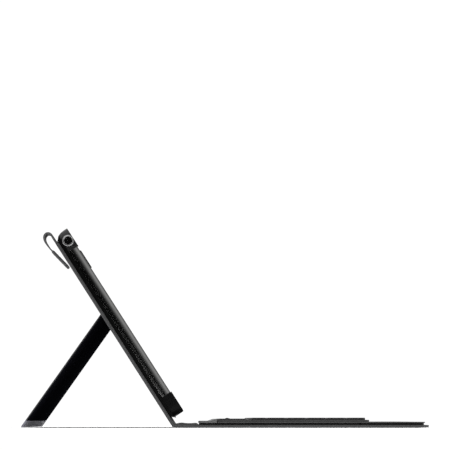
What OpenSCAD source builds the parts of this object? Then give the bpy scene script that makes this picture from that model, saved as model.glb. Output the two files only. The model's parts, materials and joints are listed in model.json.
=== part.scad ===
/* [Folio] */
// Width of the folio along its fold lines
folio_w = 304; // [300:1:308]
// Distance from the base fold line to the front edge of the keyboard flap
base_len = 220.9; // [220:0.1:222]
// Distance between the two fold lines of the spine
spine_len = 21.7; // [21:0.1:23]
// Thickness of the spine at the fold lines
spine_t = 3.4; // [3.4:0.1:3.6]
// Thickness of the back cover
cover_t = 3.1; // [3.1:0.1:3.3]
// Distance from the cover fold line to the stiff top end of the back cover
cover_len = 207.5; // [206:0.5:208]
// Radius of the folio's plan corners
corner_r = 7; // [4:1:10]
// Angle between the back cover and the desk when the stand is in use
cover_tilt = 57.25; // [45:0.25:65]

/* [Tablet tray] */
// Height of the tablet that the tray holds
tablet_h = 204; // [203:0.5:204]
// Length of the tablet that the tray holds
tablet_w = 296; // [294:0.5:296]
// Depth of the bay between the pad and the lips of the clips
bay_t = 8.6; // [8:0.1:9]
// Thickness of the tray under the tablet
tray_t = 4.3; // [4:0.1:4.5]
// Length of each leg of a corner clip
clip_leg = 20.9; // [16:0.5:24]
// Overlap of a clip's lip over the front of the tablet
clip_lip = 3; // [2:0.5:4]
// Inner radius of the ring round the headphone opening
jack_r = 3.3; // [3:0.1:3.6]

/* [Kickstand] */
// Distance from the cover fold line to the kickstand hinge
stand_s = 125.7; // [124:0.1:127]
// Opening angle between the kickstand and the back cover
stand_open = 67.85; // [60:0.05:72]
// Thickness of the kickstand panel
stand_t = 1.7; // [1.6:0.1:1.7]
// Width of the kickstand panel
stand_w = 287; // [280:1:288]
// Radius of the hinge rod
rod_r = 0.5; // [0.4:0.05:0.5]

/* [Closing strap] */
// Width of the closing strap
flap_w = 24; // [18:1:30]
// Distance from the left side of the case to the middle of the strap
flap_side = 16; // [16:1:40]
// Thickness of the strap's flexible part
flap_t = 1.2; // [1:0.1:1.3]
// Length of one step of the flexible part
flap_pitch = 4.5; // [4.4:0.1:4.6]
// Length of the stiff magnetic tab
tab_len = 25; // [20:1:28]
// Thickness of the magnetic tab
tab_t = 2.9; // [2.4:0.1:3]

/* [Keyboard] */
// Key pitch in both directions
key_pitch = 19.1; // [18.6:0.1:19.2]
// Gap between two key caps
key_gap = 1.8; // [1.4:0.1:3]
// Travel of the keys
key_travel = 1.4; // [1:0.1:1.4]
// Height of the key tops above the desk
key_top = 9; // [8.8:0.1:9.1]
// Height of the palm rest above the desk
palm_top = 5.4; // [5:0.1:5.6]

/* [Hidden] */

$fn = 40;
eps = 0.01;
fold_gap = 0.3;             // air between a fold's round edge and the panel that turns about it
side_gap = 0.5;             // air beside the kickstand in its recess

// Layers of the three soft panels
base_skin_t = 1.0;
base_board_t = 0.6;
base_t = 2.4;
skin_t = 1.3;
board_t = 0.95;
lining_t = cover_t - skin_t - board_t;

// Fold lines
base_fold_z = spine_t / 2;
base_fold_r = spine_t / 2;
cover_fold = [-spine_len, 0, spine_t];
cover_fold_r = spine_t;

// Kickstand hinge, in the flat cover's frame: x runs away from the fold line, z = 0 is the lining's face
rod_depth = 1.1;
rod_z = rod_depth - cover_t;
leg_r = stand_t / 2;
recess_w = stand_w + 2 * side_gap;
hinge_height = cover_fold[2] + stand_s * sin(cover_tilt) + rod_z * cos(cover_tilt);
stand_lean = 180 - cover_tilt - stand_open;
stand_len = (hinge_height - leg_r) / sin(stand_lean);
foot_len = 5.2;
liner_t = 0.6;
recess_past_fold = stand_len + leg_r - stand_s + 0.6;
recess_roof = spine_t - 0.65;
block_len = 7;
block_w = 5.8;

// Tray, in the flat cover's frame
bay_start = 7.9;
bay_end = bay_start + tablet_h;
clip_wall = 1.4;
side_wall = 2.4;
bay_half_w = tablet_w / 2 + 0.2;
clip_start = bay_start - clip_wall;
clip_end = bay_end + clip_wall;
tray_half_w = bay_half_w + side_wall;
pad_t = 0.8;
bay_floor = tray_t - pad_t;
lip_t = 1.3;
glass_z = tray_t + bay_t;
clip_top_z = glass_z + lip_t;
tablet_corner_r = 7.5;
rail_gap = 0.3;
rail_top = -clip_end + clip_leg + rail_gap;
rail_bottom = -clip_start - clip_leg - rail_gap;
corner_reach = 2;           // how far a corner block reaches past the tray's outline
ring_wall = 0.9;
jack_s = 202;
jack_z = tray_t + bay_t / 2;
camera_s = 190;
camera_len = 34;
camera_h = 14;
bezel_rim = 2;

// Closing strap: bend at each step, from the end of the cover to the tab
flap_bends = [0, 0, 54, 61, 46, 20, 6.5, 4];
flap_start = cover_len + 1;
flap_z = 1.6 - cover_t;
flap_y = flap_side - folio_w / 2;
link_gap = 1.0;
tab_gap = 1.1;              // the thick tab starts this far from its fold, so that it clears the last link
magnet_l = 9;
magnet_w = 14;
magnet_t = 1.8;

// Keyboard module, x measured from the base fold line
bar_start = 2.1;
bar_flat_end = 12.4;
bar_end = 18.8;
bar_low = 6.3;
bar_high = 8.3;
bar_r = 1.6;
bar_wall = 1.8;
port_x = 9;
port_z = 4.5;
deck_start = 19.2;
deck_end = 164.4;
deck_top = 7.3;
deck_w = 284;
shell_end = 217.6;
shell_w = 295;
bottom_w = 292;
floor_top = 3.2;
shell_z = 4.3;
wall = 1.2;
control_start = 21.9;
control_end = 45.7;
control_top = 8.5;
control_w = 280;
plate_start = 48;
plate_z = 4.6;
membrane_z = 5.2;
dome_z = 5.5;
cap_h = 1.4;
cap_wall = 1.1;
cap_roof = 0.6;
dome_h = key_top - cap_roof - key_travel - 0.3 - dome_z;
cap_r = 1.6;
key_field_w = 14.5 * key_pitch;
function_depth = 14.9;
function_x = 51.4;
row_x = function_x + function_depth;
screw_places = [for (x = [50, 110, 168, 213], y = [-140.7, 140.7]) [x, y]];
switch_y = 105;
switch_travel = 3;
button_y = 88;
light_y = 76;
button_r = 2.4;

// Everything is centred over its own footprint
foot_x = cover_fold[0] - stand_s * cos(cover_tilt) + rod_z * sin(cover_tilt)
         - stand_len * cos(stand_lean) - leg_r;
x_shift = -(foot_x + base_len) / 2;

module along_y(w) rotate([90, 0, 0]) linear_extrude(height = w, center = true) children();
module rod_y(r, w) rotate([90, 0, 0]) cylinder(r = r, h = w, center = true);
module slab(x0, x1, w, z0, z1) translate([x0, -w / 2, z0]) cube([x1 - x0, w, z1 - z0]);

// Rectangle from x0 to x1 with a round corner at each end that has a radius
module outline(x0, x1, w, r0, r1) {
    union() {
        translate([x0 + r0, -w / 2]) square([x1 - x0 - r0 - r1, w]);
        if (r0 > 0) {
            translate([x0, -w / 2 + r0]) square([r0 + eps, w - 2 * r0]);
            for (side = [-1, 1]) translate([x0 + r0, side * (w / 2 - r0)]) circle(r = r0);
        }
        if (r1 > 0) {
            translate([x1 - r1 - eps, -w / 2 + r1]) square([r1 + eps, w - 2 * r1]);
            for (side = [-1, 1]) translate([x1 - r1, side * (w / 2 - r1)]) circle(r = r1);
        }
    }
}
module plate(x0, x1, w, r0, r1, z0, z1)
    translate([0, 0, z0]) linear_extrude(height = z1 - z0) outline(x0, x1, w, r0, r1);

module at_base() translate([x_shift, 0, 0]) children();
module at_cover() at_base() translate(cover_fold) rotate([0, cover_tilt, 0]) children();
module at_stand() at_cover() translate([-stand_s, 0, rod_z]) rotate([0, stand_open, 0]) children();
module flap_step(i) {
    if (i == 0) translate([-flap_start, 0, flap_z]) rotate([0, -flap_bends[0], 0]) children();
    else flap_step(i - 1) translate([-flap_pitch, 0, 0]) rotate([0, -flap_bends[i], 0]) children();
}

// ---- Keyboard flap ----
module base_outer_skin() color("#3b3b3d") at_base() {
    plate(0, base_len, folio_w, 0, corner_r, 0, base_skin_t);
    translate([0, 0, base_fold_z]) rod_y(base_fold_r, folio_w);
}
module base_board() color("#8a7a62") at_base()
    plate(5, base_len - 3, folio_w - 6, 1, corner_r - 2, base_skin_t, base_skin_t + base_board_t);
module base_lining() color("#545456") at_base()
    plate(base_fold_r + 0.2, base_len, folio_w, 0, corner_r, base_skin_t + base_board_t, base_t);

module screw_holes(r, z0, z1)
    for (p = screw_places) translate([p[0], p[1], z0]) cylinder(r = r, h = z1 - z0);

module port_space() translate([port_x, shell_w / 2, port_z]) cube([8, 14, 2.6], center = true);

module keyboard_bottom_shell() color("#161617") at_base() difference() {
    plate(bar_start + 1, shell_end - 1, bottom_w, 1, corner_r - 2, base_t, shell_z);
    plate(bar_start + 1 + wall, shell_end - 1 - wall, bottom_w - 2 * wall, 0.5, corner_r - 3,
          floor_top, shell_z + 1);
    screw_holes(0.85, base_t - 1, floor_top + 1);
    screw_holes(1.6, base_t - 1, base_t + 0.5);
    port_space();
}

module key_space(x, y, depth, width, grow, z0, z1)
    translate([x, y, 0]) plate(-depth / 2 - grow, depth / 2 + grow, width + 2 * grow, cap_r, cap_r, z0, z1);

module keyboard_top_shell() color("#4c4c4e") at_base() difference() {
    union() {
        plate(deck_start, shell_end, shell_w, 1, corner_r - 1, shell_z, palm_top);
        plate(deck_start, deck_end, deck_w, 1, 4, shell_z, deck_top);
        screw_holes(1.7, floor_top, shell_z + 0.5);
    }
    slab(deck_start + wall, deck_end - wall, key_field_w + 1, shell_z - 1, deck_top - 0.8);
    screw_holes(0.8, floor_top - 1, palm_top - 0.5);
    for (k = all_keys) key_space(k[0], k[1], k[2], k[3], 0.4, dome_z, deck_top + 1);
    translate([0, switch_y, 0]) slab(31.5, 34.5, 8, dome_z, deck_top + 1);
    translate([33, button_y, dome_z]) cylinder(r = 1.2, h = 3);
}

module battery_cover() color("#6a6a6c") at_base() difference() {
    along_y(shell_w) {
        translate([bar_start + bar_r, shell_z])
            square([bar_end - bar_start - bar_r, bar_low - shell_z]);
        intersection() {
            translate([bar_start + bar_r, bar_low - bar_r]) circle(r = bar_r);
            translate([bar_start, shell_z]) square([bar_r + eps, bar_low - shell_z]);
        }
        translate([bar_start, shell_z]) square([bar_r + eps, bar_low - bar_r - shell_z]);
        polygon([[bar_flat_end, shell_z], [bar_end, shell_z], [bar_end, bar_high],
                 [bar_end - 1, bar_high], [bar_flat_end, bar_low]]);
    }
    slab(bar_start + bar_wall, bar_end - wall, shell_w - 2 * wall, shell_z - 1, bar_low - 0.7);
    port_space();
}

module control_bar() color("#242425") at_base() difference() {
    plate(control_start, control_end, control_w, 2, 2, deck_top, control_top);
    translate([0, switch_y, 0]) slab(31.3, 34.7, 8.2, deck_top - 1, control_top + 1);
    translate([33, button_y, deck_top - 1]) cylinder(r = button_r + 0.3, h = 4);
    translate([33, light_y, deck_top - 1]) cylinder(r = 1, h = 4);
}
module power_switch() color("#8c8c90") at_base() translate([33, switch_y - switch_travel / 2, 0]) {
    slab(-1.2, 1.2, 4, dome_z + 0.5, control_top + 0.4);
    plate(-1.4, 1.4, 4.4, 0.6, 0.6, control_top + 0.3, control_top + 0.8);
}
module pairing_button() color("#6f6f73") at_base() translate([33, button_y, 0]) {
    translate([0, 0, deck_top + 0.7]) cylinder(r = button_r, h = control_top + 0.4 - deck_top - 0.7);
    translate([0, 0, dome_z + 0.9]) cylinder(r = 0.9, h = deck_top + 0.8 - dome_z - 0.9);
}
module status_light() color("white") at_base()
    translate([33, light_y, deck_top]) cylinder(r = 1, h = control_top - deck_top);

module key_plate() color("silver") at_base()
    slab(plate_start, deck_end - wall - 0.3, key_field_w, plate_z, membrane_z);
module key_membrane() color("#d8dcc8") at_base()
    slab(plate_start, deck_end - wall - 0.3, key_field_w - 1, membrane_z, dome_z);
module rubber_domes() color("#e4e4e0") at_base()
    for (k = all_keys) translate([k[0], k[1], dome_z]) cylinder(r = 2.2, h = dome_h);
module battery_cells() color("#b8b9bd") at_base()
    for (y = [-78, 58]) translate([0, y, 0]) slab(5, 17, 118, floor_top + 0.1, bar_low - 0.9);
module circuit_board() color("#1d5c38") at_base() {
    slab(22, 46, 120, plate_z, plate_z + 0.8);
    for (y = [-40 : 16 : 40]) translate([0, y, 0]) slab(30, 36, 6, plate_z + 0.8 - eps, plate_z + 1.6);
    translate([33, 0, 0]) slab(-3, 3, 30, plate_z - 0.6, plate_z + eps);
}
module charging_port() color("silver") at_base() translate([port_x, shell_w / 2 - 3, port_z]) difference() {
    cube([7.6, 6, 2.5], center = true);
    translate([0, 1, 0]) cube([6.8, 6, 1.8], center = true);
}
module shell_screws() color("#6d6d70") at_base() {
    screw_holes(1.5, base_t, base_t + 0.5);
    screw_holes(0.8, base_t + 0.4, palm_top - 0.6);
}
module catch_plate() color("#a0a2a6") at_base() translate([0, flap_y, 0])
    slab(199, 209, magnet_w, floor_top, floor_top + 0.8);

// ---- Keys: each is [x centre, y centre, depth, width] ----
cap = key_pitch - key_gap;
function key(row, start, units) = [row_x + (row + 0.5) * key_pitch,
    -key_field_w / 2 + (start + units / 2) * key_pitch, cap, units * key_pitch - key_gap];
function run(row, start, units, count) = [for (i = [0 : count - 1]) key(row, start + i * units, units)];
function_step = 14.5 / 14;
function_row = [for (i = [0 : 13]) [function_x + function_depth / 2,
    -key_field_w / 2 + (i + 0.5) * function_step * key_pitch, function_depth - key_gap,
    function_step * key_pitch - key_gap]];
number_row = run(0, 0, 1, 13);
backspace = [key(0, 13, 1.5)];
upper_row = concat([key(1, 0, 1.25)], run(1, 1.25, 1, 12), [key(1, 13.25, 1.25)]);
home_row = concat([key(2, 0, 1.5)], run(2, 1.5, 1, 11));
enter = [key(2, 12.5, 2)];
left_shift = [key(3, 0, 2)];
lower_row = run(3, 2, 1, 10);
right_shift = [key(3, 12, 2.5)];
half_cap = (cap - key_gap) / 2;
function half_key(start, side) = [row_x + 4.5 * key_pitch + side * (half_cap + key_gap) / 2,
    -key_field_w / 2 + (start + 0.5) * key_pitch, half_cap, cap];
modifier_row = concat(run(4, 0, 1.125, 4), run(4, 9.5, 1, 3), [key(4, 13.5, 1)],
    [half_key(12.5, -1), half_key(12.5, 1)]);
space = [key(4, 4.5, 5)];
all_keys = concat(function_row, number_row, backspace, upper_row, home_row, enter, left_shift, lower_row,
    right_shift, modifier_row, space);

module key_caps(keys) at_base() for (k = keys) difference() {
    key_space(k[0], k[1], k[2], k[3], 0, key_top - cap_h, key_top);
    translate([k[0], k[1], key_top - cap_h - 1]) linear_extrude(height = cap_h - cap_roof + 1)
        square([k[2] - 2 * cap_wall, k[3] - 2 * cap_wall], center = true);
}
module function_keys() color("#2c2c2e") key_caps(function_row);
module number_keys() color("#2c2c2e") key_caps(number_row);
module upper_letter_keys() color("#2c2c2e") key_caps(upper_row);
module home_letter_keys() color("#2c2c2e") key_caps(home_row);
module lower_letter_keys() color("#2c2c2e") key_caps(lower_row);
module modifier_keys() color("#2c2c2e") key_caps(modifier_row);
module space_bar() color("#2c2c2e") key_caps(space);
module enter_key() color("#2c2c2e") key_caps(enter);
module backspace_key() color("#2c2c2e") key_caps(backspace);
module left_shift_key() color("#2c2c2e") key_caps(left_shift);
module right_shift_key() color("#2c2c2e") key_caps(right_shift);

// ---- Spine ----
module spine_cuts() {
    translate([0, 0, base_fold_z]) rod_y(base_fold_r + fold_gap, folio_w + 2);
    translate([cover_fold[0] - cover_fold_r - 1, -recess_w / 2, -1])
        cube([cover_fold_r + 1 + recess_past_fold, recess_w, recess_roof + 1]);
}
module spine_outer_skin() color("#3b3b3d") at_base() difference() {
    union() {
        slab(cover_fold[0] - eps, 0, folio_w, 0, skin_t);
        intersection() {
            translate(cover_fold) rod_y(cover_fold_r, folio_w);
            slab(cover_fold[0] - cover_fold_r, cover_fold[0], folio_w, 0, spine_t);
        }
    }
    spine_cuts();
    slab(cover_fold[0] - cover_fold_r - 1, cover_fold[0], recess_w, -1, spine_t + 1);
}
module spine_board() color("#8a7a62") at_base()
    slab(cover_fold[0] + recess_past_fold + 0.5, -base_fold_r - 2, folio_w - 6, skin_t, skin_t + board_t);
module spine_lining() color("#545456") at_base() difference() {
    slab(cover_fold[0] + 0.05, 0, folio_w, skin_t + board_t, spine_t);
    spine_cuts();
}

// ---- Back cover: drawn flat, lining up, running away from the fold line along -x ----
module cover_layer(z0, z1, inset) difference() {
    slab(-cover_len + inset, 0, folio_w - 2 * inset, z0, z1);
    rod_y(cover_fold_r + fold_gap + inset, folio_w + 2);
}
module camera_hole(grow, z0, z1)
    plate(-camera_s - camera_h / 2 - grow, -camera_s + camera_h / 2 + grow, camera_len + 2 * grow,
          camera_h / 2 + grow - eps, camera_h / 2 + grow - eps, z0, z1);
module stand_recess() {
    slab(-stand_s, 10, recess_w, -cover_t - 1, -lining_t);
    translate([-stand_s, 0, rod_z]) rod_y(leg_r + fold_gap, recess_w);
    slab(-stand_s - leg_r - fold_gap, -stand_s, recess_w, -cover_t - 1, rod_z);
}
module block_spaces(grow) for (side = [-1, 1])
    translate([-stand_s, side * (recess_w + block_w) / 2, -(cover_t + lining_t) / 2])
        cube([block_len + 2 * grow, block_w + 2 * grow, skin_t + board_t], center = true);
module cover_outer_skin() color("#57575a") at_cover() difference() {
    cover_layer(-cover_t, skin_t - cover_t, 0);
    stand_recess();
    camera_hole(bezel_rim, -cover_t - 1, 1);
    block_spaces(0.05);
}
module cover_board() color("#8a7a62") at_cover() difference() {
    cover_layer(skin_t - cover_t, -lining_t, 2);
    stand_recess();
    camera_hole(bezel_rim, -cover_t - 1, 1);
    block_spaces(0.05);
}
module cover_lining() color("#2a2a2c") at_cover() difference() {
    cover_layer(-lining_t, 0, 0);
    camera_hole(0, -cover_t - 1, 1);
}
module camera_bezel() color("#1c1c1e") at_cover() difference() {
    camera_hole(bezel_rim, -cover_t, -lining_t);
    camera_hole(0, -cover_t - 1, 1);
}
module hinge_blocks() color("#3c3c40") at_cover() difference() {
    block_spaces(0);
    translate([-stand_s, 0, rod_z]) rod_y(rod_r + 0.05, folio_w);
}

// ---- Tablet tray ----
module tray_plate() color("#0d0d0e") at_cover() difference() {
    along_y(2 * tray_half_w) polygon([[-clip_start - 1.6, 0], [-clip_start + 1.4, bay_floor],
        [-clip_start, bay_floor + 0.4], [-clip_start, tray_t + 1.5], [-bay_start, tray_t + 1.5],
        [-bay_start, bay_floor], [-bay_end, bay_floor], [-bay_end, tray_t + 1.5],
        [-clip_end, tray_t + 1.5], [-clip_end, bay_floor], [-clip_end + 1, bay_floor - 1],
        [-clip_end + 6.2, 0]]);
    camera_hole(0, -1, tray_t + 1);
    for (i = [0 : 3]) clip_block(i, bay_floor, tray_t + 3);
}
module tray_pad() color("#1a1a1c") at_cover() difference() {
    plate(-bay_end + 0.5, -bay_start - 0.5, 2 * bay_half_w - 1, tablet_corner_r, tablet_corner_r,
          bay_floor, tray_t);
    camera_hole(1.5, -1, tray_t + 1);
}
module rail(side) {
    translate([0, side * (bay_half_w + side_wall / 2 - 0.1), 0])
        slab(rail_top, rail_bottom, side_wall - 0.2, bay_floor, glass_z - 0.9);
    translate([0, side * (bay_half_w + side_wall / 2 - 0.4), 0])
        slab(rail_top, rail_bottom, side_wall - 0.8, glass_z - 1, glass_z);
}
module left_rail() color("#3a3b3c") at_cover() rail(-1);
module right_rail() color("#3a3b3c") at_cover() rail(1);

// The square of the tray's outline that corner i keeps
module clip_block(i, z0, z1) {
    x = i < 2 ? -clip_end - corner_reach : -clip_start - clip_leg;
    y = i % 2 == 0 ? -tray_half_w - corner_reach : tray_half_w - clip_leg;
    translate([x, y, z0]) cube([clip_leg + corner_reach, clip_leg + corner_reach, z1 - z0]);
}
module clip(i) difference() {
    intersection() {
        plate(-clip_end, -clip_start, 2 * tray_half_w, tablet_corner_r + 1.5, tablet_corner_r + 1.5,
              bay_floor, clip_top_z);
        clip_block(i, tray_t - 1, clip_top_z + 1);
    }
    plate(-bay_end, -bay_start, 2 * bay_half_w, tablet_corner_r, tablet_corner_r, tray_t - 1, glass_z);
    plate(-bay_end + clip_lip, -bay_start - clip_lip, 2 * (bay_half_w - clip_lip), tablet_corner_r,
          tablet_corner_r, glass_z - 1, clip_top_z + 1);
}
module top_left_clip() color("#3a3a3c") at_cover() difference() {
    clip(0);
    translate([-jack_s, -tray_half_w, jack_z]) rod_y(jack_r + ring_wall, 4 * side_wall);
}
module top_right_clip() color("#3a3a3c") at_cover() clip(1);
module bottom_left_clip() color("#0e0e0f") at_cover() clip(2);
module bottom_right_clip() color("#0e0e0f") at_cover() clip(3);
module headphone_ring() color("silver") at_cover() translate([-jack_s, -tray_half_w + side_wall / 2, jack_z])
    difference() {
        rod_y(jack_r + ring_wall, side_wall);
        rod_y(jack_r, side_wall + 2);
    }

// ---- Kickstand: drawn folded, hinge rod at the origin, foot along +x ----
module kickstand_panel() color("#4a4a4c") at_stand() difference() {
    union() {
        rod_y(leg_r, stand_w);
        slab(0, stand_len - foot_len, stand_w, -leg_r, leg_r - liner_t);
    }
    rod_y(rod_r, stand_w + 2);
}
module kickstand_liner() color("#101014") at_stand()
    slab(1.2, stand_len - foot_len, stand_w, leg_r - liner_t, leg_r);
module kickstand_foot() color("#86868b") at_stand() {
    slab(stand_len - foot_len, stand_len, stand_w, -leg_r, leg_r);
    translate([stand_len, 0, 0]) rod_y(leg_r, stand_w);
}
module hinge_rod() color("#b5b7ba") at_stand() rod_y(rod_r, recess_w + 2 * block_w - 1);

// ---- Closing strap ----
module at_flap(i) at_cover() flap_step(i) translate([0, flap_y, 0]) children();
module flap_link(i) color("#5c5c5f") at_flap(i - 1)
    slab(-flap_pitch + link_gap / 2, -link_gap / 2, flap_w, -flap_t / 2, flap_t / 2);
module flap_link_1() flap_link(1);
module flap_link_2() flap_link(2);
module flap_link_3() flap_link(3);
module flap_link_4() flap_link(4);
module flap_link_5() flap_link(5);
module flap_link_6() flap_link(6);
module flap_link_7() flap_link(7);
module magnet(grow) translate([-tab_len / 2, 0, (tab_t - magnet_t + grow) / 2])
    cube([magnet_l, magnet_w, magnet_t + grow], center = true);
module flap_tab() color("#505053") at_flap(7) difference() {
    plate(-tab_len, -tab_gap, flap_w, 4, 0.5, -tab_t / 2, tab_t / 2);
    magnet(1);
}
module tab_magnet() color("silver") at_flap(7) magnet(0);

base_outer_skin();
base_board();
base_lining();
keyboard_bottom_shell();
keyboard_top_shell();
battery_cover();
control_bar();
key_plate();
key_membrane();
rubber_domes();
battery_cells();
circuit_board();
charging_port();
status_light();
shell_screws();
catch_plate();
power_switch();
pairing_button();
function_keys();
number_keys();
upper_letter_keys();
home_letter_keys();
lower_letter_keys();
modifier_keys();
space_bar();
enter_key();
backspace_key();
left_shift_key();
right_shift_key();
spine_outer_skin();
spine_board();
spine_lining();
cover_outer_skin();
cover_board();
cover_lining();
camera_bezel();
hinge_blocks();
tray_plate();
tray_pad();
left_rail();
right_rail();
top_left_clip();
top_right_clip();
bottom_left_clip();
bottom_right_clip();
headphone_ring();
kickstand_panel();
kickstand_liner();
kickstand_foot();
hinge_rod();
flap_link_1();
flap_link_2();
flap_link_3();
flap_link_4();
flap_link_5();
flap_link_6();
flap_link_7();
flap_tab();
tab_magnet();
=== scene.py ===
import json
import math

import bmesh
import bpy
from mathutils import Matrix, Vector


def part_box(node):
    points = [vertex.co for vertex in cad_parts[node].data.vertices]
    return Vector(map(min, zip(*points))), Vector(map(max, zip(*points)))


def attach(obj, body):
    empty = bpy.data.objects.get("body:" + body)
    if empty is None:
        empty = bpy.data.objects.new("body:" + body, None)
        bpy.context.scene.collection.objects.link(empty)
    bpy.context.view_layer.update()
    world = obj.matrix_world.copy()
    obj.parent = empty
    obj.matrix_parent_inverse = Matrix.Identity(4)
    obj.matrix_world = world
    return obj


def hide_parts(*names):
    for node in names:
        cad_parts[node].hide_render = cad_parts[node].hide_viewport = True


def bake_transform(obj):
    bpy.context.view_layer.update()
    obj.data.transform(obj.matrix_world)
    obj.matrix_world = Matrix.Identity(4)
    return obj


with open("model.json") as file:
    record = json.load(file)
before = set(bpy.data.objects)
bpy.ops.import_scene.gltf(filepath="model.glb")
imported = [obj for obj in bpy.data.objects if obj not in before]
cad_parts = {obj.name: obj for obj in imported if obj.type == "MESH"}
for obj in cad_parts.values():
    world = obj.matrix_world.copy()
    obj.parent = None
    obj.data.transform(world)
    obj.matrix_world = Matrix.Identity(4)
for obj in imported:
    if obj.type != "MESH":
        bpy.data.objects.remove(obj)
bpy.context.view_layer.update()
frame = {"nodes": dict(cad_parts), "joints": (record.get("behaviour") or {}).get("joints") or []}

scene = bpy.context.scene
MM = 0.001

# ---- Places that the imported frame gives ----
joint = {j["name"]: j for j in frame["joints"]}
anchor = {name: Vector(j["pos_m"]) for name, j in joint.items() if "pos_m" in j}
base_fold = anchor["spine_fold"]
cover_fold = anchor["cover_fold"]
tilt = -math.radians(joint["cover_fold"]["range_deg"][0])
stand_open = math.radians(joint["kickstand_hinge"]["range_deg"][1])
COVER = Matrix.Translation(cover_fold) @ Matrix.Rotation(tilt, 4, "Y")
STAND = Matrix.Translation(anchor["kickstand_hinge"]) @ Matrix.Rotation(tilt + stand_open, 4, "Y")

# ---- Driving sizes, in metres: the CAD's values, but for foot_len ----
half_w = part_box("base_outer_skin")[1].y
base_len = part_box("base_outer_skin")[1].x - base_fold.x
spine_len = base_fold.x - cover_fold.x
spine_t = cover_fold.z
cover_t = 3.1 * MM
cover_len = 207.5 * MM
base_t = 2.4 * MM
base_lining_z = 1.6 * MM
lining_edge_steps = [e * MM for e in (0, 0.05, 0.15, 0.35, 1, 3, 5, 7)]
lining_edge_r = 0.35 * MM
lining_depth = 2.25 * MM        # where the lining starts on the spine and the cover, from the outer face
skin_t = 1.3 * MM
corner_r = 7 * MM
fold_arc = 3.25 * MM            # length of the outer skin round the cover fold
stand_s = 125.7 * MM
stand_len = 131.01 * MM
stand_half_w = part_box("kickstand_panel")[1].y
leg_r = 0.85 * MM
foot_len = 7.2 * MM             # the CAD's foot strip is 5.2 mm long
liner_t = 0.6 * MM
recess_half_w = stand_half_w + 0.5 * MM
recess_past_fold = 6.76 * MM
recess_end = stand_s + leg_r + 0.3 * MM
camera_s = 190 * MM
camera_half = (17 * MM, 7 * MM)
bay_floor = 3.5 * MM
tray_t = 4.3 * MM
bay = (7.9 * MM, 211.9 * MM)
bay_half_w = 148.2 * MM
flap_low, flap_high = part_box("flap_tab")
flap_half_w, flap_y = (flap_high.y - flap_low.y) / 2, (flap_high.y + flap_low.y) / 2
flap_t = 1.2 * MM
tab_len = 25 * MM
tab_t = 2.9 * MM
tab_bend = math.radians(4)
start_of_sewing = 6 * MM


def grey(level, blue=0):
    """Linear colour of a grey given as it shows, from 0 to 255, with a little more or less blue."""
    shown = (level, level, level + blue)
    return tuple(((c / 255 + 0.055) / 1.055) ** 2.4 if c > 10 else c / 255 / 12.92 for c in shown)


# ---- Camera, light and floor ----
def make_camera():
    data = bpy.data.cameras.new("camera")
    data.lens = 174.99
    data.sensor_width = 36
    camera = bpy.data.objects.new("camera", data)
    up, right = math.radians(5.071), math.radians(0.983)
    camera.location = (-0.0361, -2.23596, 0.00796)
    aim = Vector((math.sin(right) * math.cos(up), math.cos(right) * math.cos(up), math.sin(up)))
    camera.rotation_mode = "QUATERNION"
    camera.rotation_quaternion = aim.to_track_quat("-Z", "Y")
    data.clip_start, data.clip_end = 0.05, 50
    scene.collection.objects.link(camera)
    scene.camera = camera


def area_light(name, place, size, power):
    data = bpy.data.lights.new(name, "AREA")
    data.shape, data.size, data.energy = "DISK", size, power
    light = bpy.data.objects.new(name, data)
    light.location = place
    light.visible_glossy = False
    light.rotation_mode = "QUATERNION"
    middle_of_case = Vector((0, 0, 0.08))
    light.rotation_quaternion = (middle_of_case - Vector(place)).to_track_quat("-Z", "Y")
    scene.collection.objects.link(light)


def make_studio():
    """A white backdrop for the camera, and a softer light from all sides but the camera's."""
    world = bpy.data.worlds.new("studio")
    world.use_nodes = True
    scene.world = world
    tree = world.node_tree
    node, link = tree.nodes.new, tree.links.new
    tree.nodes.clear()
    seen, lit, mix = node("ShaderNodeBackground"), node("ShaderNodeBackground"), node("ShaderNodeMixShader")
    direction, split = node("ShaderNodeTexCoord"), node("ShaderNodeSeparateXYZ")
    level = node("ShaderNodeMapRange")
    ray, out = node("ShaderNodeLightPath"), node("ShaderNodeOutputWorld")
    seen.inputs["Color"].default_value = (1, 1, 1, 1)
    seen.inputs["Strength"].default_value = 1.05
    link(direction.outputs["Generated"], split.inputs[0])
    link(split.outputs["Y"], level.inputs["Value"])
    level.interpolation_type = "SMOOTHSTEP"
    level.inputs["From Min"].default_value, level.inputs["From Max"].default_value = -1.0, -0.4
    level.inputs["To Min"].default_value, level.inputs["To Max"].default_value = 0.002, 0.95
    link(level.outputs["Result"], lit.inputs["Strength"])
    link(ray.outputs["Is Camera Ray"], mix.inputs[0])
    link(lit.outputs[0], mix.inputs[1])
    link(seen.outputs[0], mix.inputs[2])
    link(mix.outputs[0], out.inputs["Surface"])
    area_light("key", (1.1, -0.9, 1.5), 1.2, 14)
    area_light("fill", (-1.5, -0.8, 0.9), 1.0, 6)
    area_light("top", (0.0, 0.3, 2.0), 1.5, 16)


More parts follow.
